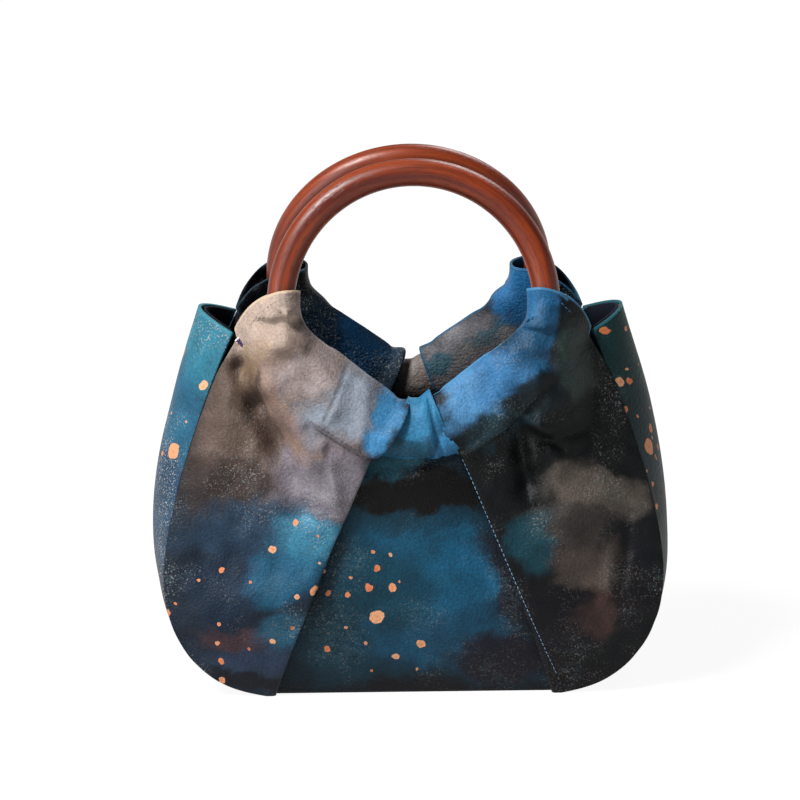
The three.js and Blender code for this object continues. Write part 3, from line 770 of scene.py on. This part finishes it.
def flared_at_parting(mesh, knot_points, flare, facing):
    """Opens the sleeve's inner end a little and laps it over the knot. The front ears are drawn out
    along the ring, and the back sleeves roll higher over it."""
    points = read_points(mesh)
    near = nearness(points, knot_points, PARTING_GAP, PARTING_REACH)
    radius, turn, proud = ring_place(points, facing)
    across = radius - ring_radius
    size = np.maximum(np.hypot(across, proud), 1e-6)
    radius = radius + flare * near * across / size
    proud = proud + flare * near * proud / size
    turn = turn - np.sign(turn) * PARTING_LAP / ring_radius * near
    if facing > 0:
        turn = turn + np.sign(turn) * EAR_STRETCH * eased((np.abs(turn) - FRONT_EAR_FROM) / FRONT_EAR_OVER)
    else:
        inner = eased(-across / INNER_OVER)
        ear = eased((np.abs(turn) - BACK_EAR_FROM) / BACK_EAR_OVER)
        radius = radius - inner * (BACK_ROLL + BACK_EAR * ear)
    write_points(mesh, from_ring(radius, turn, proud, facing))


def sewn_together(panel, sleeve):
    """One closed cloth from a panel and a sleeve that overlap at their seam."""
    panel_holder = add_object("panel_holder", panel)
    sleeve_holder = add_object("sleeve_holder", sleeve)
    join = panel_holder.modifiers.new("join", "BOOLEAN")
    join.operation = "UNION"
    join.solver = "MANIFOLD"
    join.object = sleeve_holder
    mesh = finished_mesh(panel_holder)
    bpy.data.objects.remove(sleeve_holder)
    return mesh


def soften_seam(mesh, seam_points, facing):
    """Rounds the valley where the panel runs into the sleeve, on its outer face only."""
    form = bmesh.new()
    form.from_mesh(mesh)
    tree = point_tree(seam_points)
    for reach in SEAM_REACHES:
        chosen = [v for v in form.verts if v.normal.y * facing < -0.25 and tree.find(v.co)[2] < reach]
        for _ in range(SEAM_SMOOTHING):
            bmesh.ops.smooth_vert(
                form, verts=chosen, factor=0.5, use_axis_x=True, use_axis_y=True, use_axis_z=True,
            )
    form.to_mesh(mesh)
    form.free()


def side_relief(points, side, facing):
    """How far each point of a side panel stands out: its folds, its billows, and crumples higher up."""
    relief = FOLD_DEPTH * fold_relief(points, SIDE_FOLDS[side])
    relief += BILLOW["depth"] * soft_noise(points, BILLOW["scale"], seed=3 + facing)
    crumple = np.abs(soft_noise(points, CRUMPLE["scale"], seed=7 + facing))
    higher_up = eased((points[:, 2] - CRUMPLE["from"]) / CRUMPLE["over"])
    relief += CRUMPLE["depth"] * (CRUMPLE["level"] - crumple) * higher_up
    return relief + RIPPLE["depth"] * soft_noise(points, RIPPLE["scale"], seed=9 + facing)


def fold_cloth(mesh, side, facing, gusset_points):
    """Moves the cloth out and in by its folds. It stays in place at the gusset, on the base and round
    the ring's inner side."""
    points = read_points(mesh)
    radius, turn, proud = ring_place(points, facing)
    relief = side_relief(points, side, facing)
    below_sleeve = eased((radius - SLEEVE_END) / SLEEVE_FADE)
    relief *= np.maximum(below_sleeve, outer_share(proud))
    fade = eased((distance_to(points, gusset_points) - SEAM_GAP) / GUSSET_FADE)
    relief *= np.where(radius > PANEL_FROM, fade, 1) * off_base(points)
    relief = np.where(radius < SLEEVE_INNER, np.maximum(relief, -SLEEVE_DIP), relief)
    points[:, 1] -= facing * relief
    write_points(mesh, points)


gusset_nodes = [frame["nodes"][f"{side}_gusset"] for side in ("left", "right")]
gusset_points = np.vstack([read_points(node.data) for node in gusset_nodes])
for face, facing in (("front", 1), ("back", -1)):
    knot_points = read_points(finer_copy(f"{face}_centre_casing", 2))
    for side in ("left", "right"):
        sleeve_mesh = finer_copy(f"{face}_{side}_casing", 3)
        panel_mesh = finer_copy(f"{face}_{side}_panel", 3)
        drawn_to_seam(panel_mesh, read_points(sleeve_mesh), facing)
        flared_at_parting(sleeve_mesh, knot_points, PARTING_FLARE[side], facing)
        hem = hem_points(sleeve_mesh)
        if side == "left":
            hem = hem[np.abs(ring_place(hem, facing)[1]) > EAR_TURN]
        seam = hem_points(panel_mesh)
        seam = seam[ring_place(seam, facing)[0] < SEAM_RADIUS]
        side_mesh = sewn_together(panel_mesh, sleeve_mesh)
        soften_seam(side_mesh, seam, facing)
        mark_hem(side_mesh, distance_to(read_points(side_mesh), hem))
        fold_cloth(side_mesh, side, facing, gusset_points)
        piece = add_piece(
            f"cloth_{face}_{side}_side", side_mesh,
            [f"{face}_{side}_panel", f"{face}_{side}_casing"], CLOTHS[f"{face}_{side}"],
        )


# The centre panels are set back behind the side panels. The short sleeve above each is pulled
# into a knot-like roll between the two side sleeves, with a few deep tucks.
KNOT_FOLDS = [
    (5.4, 162, 12, 133, 0.8, 6, 3.2), (9.8, 157, 16, 133, 5, 0.8, 2.4),
    (-6, 158, -4, 136, 5, 4, 0.8),
]
CENTRE_FOLDS = [
    (-20, 128, -44, 30, 12, 12, 1.2), (24, 128, 44, 40, 12, 12, -1.2), (0, 120, 6, 60, 16, 16, 0.8),
    (-24, 118, 4, 121, 5, 0.8, 1.8), (4, 121, 26, 129, 5, 0.8, 1.8),
]
BEHIND_SEAM = 0.0026
KNOT_SEAM_REACH = 0.012
KNOT_LAP_REACH = 0.009
KNOT_RISE = 0.0056
KNOT_INNER_OVER = 0.006
KNOT_BILLOW = {"depth": 0.0006, "scale": 60}
CENTRE_BILLOW = {"depth": 0.0010, "scale": 24}
KNOT_DIP = 0.0002
CENTRE_TOP = 0.140
CENTRE_FADE = 0.012

for face, facing in (("front", 1), ("back", -1)):
    knot_mesh = finer_copy(f"{face}_centre_casing", 3)
    points = read_points(knot_mesh)
    radius, turn, proud = ring_place(points, facing)
    near = 0
    for side in ("left", "right"):
        sleeve_points = read_points(finer_copy(f"{face}_{side}_casing", 1))
        near = near + nearness(points, sleeve_points, PARTING_GAP, KNOT_LAP_REACH)
    turn = turn + np.sign(turn) * PARTING_LAP / ring_radius * near
    if facing > 0:
        radius = radius - KNOT_RISE * eased((ring_radius - radius) / KNOT_INNER_OVER)
    points = from_ring(radius, turn, proud, facing)
    billow = KNOT_BILLOW["depth"] * soft_noise(points, KNOT_BILLOW["scale"], 21, ALL_WAYS)
    relief = fold_relief(points, KNOT_FOLDS) + billow
    relief = np.maximum(relief, -KNOT_DIP) * outer_share(proud) * (1 - np.clip(near, 0, 1))
    points[:, 1] -= facing * relief
    write_points(knot_mesh, points)
    piece = add_piece(
        f"cloth_{face}_knot", knot_mesh,
        [f"{face}_centre_casing"], CLOTHS[f"{face}_knot"],
    )

    centre_mesh = finer_copy(f"{face}_centre_panel", 3)
    points = read_points(centre_mesh)
    near = nearness(points, read_points(knot_mesh), SEAM_GAP, KNOT_SEAM_REACH)
    radius, turn, proud = ring_place(points, facing)
    points = from_ring(radius - BEHIND_SEAM * near, turn, proud, facing)
    billow = CENTRE_BILLOW["depth"] * soft_noise(points, CENTRE_BILLOW["scale"], seed=31)
    relief = fold_relief(points, CENTRE_FOLDS) + billow
    relief *= off_base(points) * eased((CENTRE_TOP - points[:, 2]) / CENTRE_FADE)
    points[:, 1] -= facing * relief
    write_points(centre_mesh, points)
    piece = add_piece(
        f"cloth_{face}_centre", centre_mesh,
        [f"{face}_centre_panel"], CLOTHS[f"{face}_centre"],
    )


# The gussets are single strips of the cloth, sewn to both faces from the base up, so that their long
# edges run a little into the side panels. The free top edge has a narrow turned hem and bows out.
GUSSET_FULLNESS = 1.02
GUSSET_RIM = 0.188
GUSSET_SWAY = 0.0022
SWAY_EDGE = 0.040
SWAY_FADE = 0.03

for side in ("left", "right"):
    node = f"{side}_gusset"
    gusset_mesh = finer_copy(node, 3)
    rim = hem_points(gusset_mesh)
    rim = rim[rim[:, 2] > GUSSET_RIM]
    gusset_surface = read_points(gusset_mesh)
    mark_hem(gusset_mesh, distance_to(gusset_surface, rim))
    middle = eased((SWAY_EDGE - np.abs(gusset_surface[:, 1])) / SWAY_FADE)
    sway = GUSSET_SWAY * soft_noise(gusset_surface, 20, 5, ALL_WAYS) * middle
    gusset_surface[:, 0] += sway * eased(gusset_surface[:, 2] / SWAY_FADE)
    gusset_surface[:, 1] *= GUSSET_FULLNESS
    write_points(gusset_mesh, gusset_surface)
    piece = add_piece(f"cloth_{node}", gusset_mesh, [node], CLOTHS[node])


piece = add_piece("cloth_base", finer_copy("base", 0), ["base"], CLOTHS["base"])


# The lining is plain dark navy cotton in five pieces, sewn in along the rim and under the sleeves.
# Where a fold of a side panel runs inwards, the lining hangs that much further in.
LINING_SLACK = 0.0012
SIDE_FROM = 0.020
SIDE_OVER = 0.012
LININGS = [
    {"part": "front", "facing": 1, "cut": (0.252, 0.192), "area": 0.0357},
    {"part": "back", "facing": -1, "cut": (0.252, 0.192), "area": 0.0357},
    {"part": "left", "facing": 0, "cut": (0.076, 0.225), "area": 0.0147},
    {"part": "right", "facing": 0, "cut": (0.076, 0.225), "area": 0.0147},
    {"part": "base", "facing": 0, "cut": (0.151, 0.065), "area": 0.0081},
]


def lining_cotton():
    cloth = Recipe("lining_cotton")
    place = cloth.place()
    tone = cloth.mix(cloth.noise(place, 60.0, 4), ink("040507"), ink("0d1122"))
    relief = cloth.bump(cloth.noise(place, 900.0, 2), 0.0002, 0.5)
    return cloth.finish({
        "Base Color": tone,
        "Roughness": 0.82,
        "Normal": relief,
        "Specular IOR Level": 0.15,
    })


lining_finish = lining_cotton()
for row in LININGS:
    node = f"{row['part']}_lining"
    facing = row["facing"]
    lining_mesh = finer_copy(node, 2)
    if facing:
        points = read_points(lining_mesh)
        for side, way in (("left", -1), ("right", 1)):
            near_side = eased((way * points[:, 0] - SIDE_FROM) / SIDE_OVER)
            inwards = np.maximum(-side_relief(points, side, facing) - LINING_SLACK, 0) * near_side
            points[:, 1] += facing * inwards * off_base(points)
        write_points(lining_mesh, points)
    piece = add_piece(f"cloth_{node}", lining_mesh, [node], lining_finish)


# Fine cotton thread holds the sleeves, their hems, the front knot and one edge of the front pleat.
# Each stitch is a short rounded capsule, half sunk in the cloth. A tack of white and purple thread
# ends the slit of the front left ear.
STITCH_PITCH = 0.0027
STITCH_LENGTH = 0.0018
THREAD_WIDTH = 0.00042
THREAD_PROUD = 0.00008
TACK_STEP = 0.0009
NEEDLE_START = 0.3
STITCH_LINES = [
    ("sleeve_thread", 1, "3c3b40", [(-49, 149.5), (-37, 142), (-25, 134.5)]),
    ("sleeve_thread", 1, "3c3b40", [(-50, 147), (-38, 139.5), (-26, 132)]),
    ("sleeve_thread", 1, "14181c", [(28, 135.5), (47, 148), (61, 162.5), (69, 169)]),
    ("sleeve_thread", 1, "14181c", [(29, 133), (48.5, 145.5), (62.5, 160), (70.5, 167)]),
    ("hem_thread", 1, "8a7862", [(-83, 198), (-79, 204.5), (-72, 210.5), (-66, 213.5), (-56, 213.5)]),
    ("hem_thread", 1, "2a5a80", [(58, 213.5), (68, 212.5), (75, 208.5), (82, 201)]),
    ("edge_thread", 1, "5f7d9a", [(24.5, 130), (50.5, 68), (75.5, 8)]),
    ("knot_thread", 1, "1d3c4c", [(-12, 134), (0, 132.6), (12, 134)]),
    ("hem_thread", -1, "24343f", [(-83, 198), (-79, 204.5), (-72, 210.5), (-66, 213.5), (-56, 213.5)]),
    ("hem_thread", -1, "2a5a80", [(58, 213.5), (68, 212.5), (75, 208.5), (82, 201)]),
    ("sleeve_thread", -1, "2a3640", [(-70, 168), (-49, 149), (-25, 134)]),
    ("sleeve_thread", -1, "2a3640", [(28, 135), (47, 147.5), (61, 162), (70, 169)]),
]
TACKS = [
    {
        "name": "white_tack", "colour": "d8d2c8", "start": (-91.8, 190),
        "count": 4, "length": 3.2, "width": 0.8,
    },
    {
        "name": "purple_tack", "colour": "33204a", "start": (-89.2, 187.4),
        "count": 3, "length": 2.6, "width": 1.3,
    },
]


def add_thread(name, form, colour):
    """A piece of thread in its own colour."""
    finish = Recipe(name).finish({
        "Base Color": ink(colour), "Roughness": 0.6, "Specular IOR Level": 0.3,
    })
    add_piece(name, mesh_from(form, name), None, finish)


def add_capsule(form, middle, along, length, width):
    """A ball drawn out to the length of a stitch. The points on its belt stay in the middle."""
    rounded = bmesh.ops.create_uvsphere(form, u_segments=8, v_segments=6, radius=width / 2)["verts"]
    for vert in rounded:
        if abs(vert.co.z) > SAME_POINT / 10:
            vert.co.z += math.copysign(length / 2 - width / 2, vert.co.z)
    turned = Matrix.Translation(middle) @ along.to_track_quat("Z", "Y").to_matrix().to_4x4()
    bmesh.ops.transform(form, matrix=turned, verts=rounded)


def walked(line, step):
    """Places at even steps along a line of x, z in millimetres."""
    spots = []
    over = 0.0
    for (x1, z1), (x2, z2) in zip(line, line[1:]):
        start = Vector((x1, z1)) / MILLIMETRES
        run = Vector((x2 - x1, z2 - z1)) / MILLIMETRES
        while over < run.length:
            spots.append(start + run * (over / run.length))
            over += step
        over -= run.length
    return spots


def cloth_tree(start):
    """The outer cloths whose names start so, for the needle to hit."""
    form = bmesh.new()
    for piece in scene.objects:
        if piece.name.startswith(start) and "lining" not in piece.name:
            form.from_mesh(piece.data)
    tree = bvhtree.BVHTree.FromBMesh(form)
    form.free()
    return tree


for number, (name, facing, colour, line) in enumerate(STITCH_LINES):
    face = "front" if facing > 0 else "back"
    tree = cloth_tree(f"cloth_{face}_")
    way = Vector((0, facing, 0))
    hits = []
    for place in walked(line, STITCH_PITCH):
        needle = Vector((place.x, -NEEDLE_START * facing, place.y))
        hits.append(tree.ray_cast(needle, way)[0])
    form = bmesh.new()
    for middle, after in zip(hits, hits[1:]):
        if middle and after and (after - middle).length < 2 * STITCH_PITCH:
            add_capsule(form, middle - way * THREAD_PROUD, after - middle, STITCH_LENGTH, THREAD_WIDTH)
    add_thread(f"{name}_{number}", form, colour)

tree = cloth_tree("cloth_front_left_side")
for row in TACKS:
    form = bmesh.new()
    x, z = [value / MILLIMETRES for value in row["start"]]
    length = row["length"] / MILLIMETRES
    width = row["width"] / MILLIMETRES
    for step in range(row["count"]):
        needle = Vector((x + TACK_STEP * step, -NEEDLE_START, z - TACK_STEP * step))
        hit = tree.ray_cast(needle, Vector((0, 1, 0)))[0]
        if hit:
            add_capsule(form, hit, Vector((1, 0, 1)), length, width)
    add_thread(row["name"], form, row["colour"])
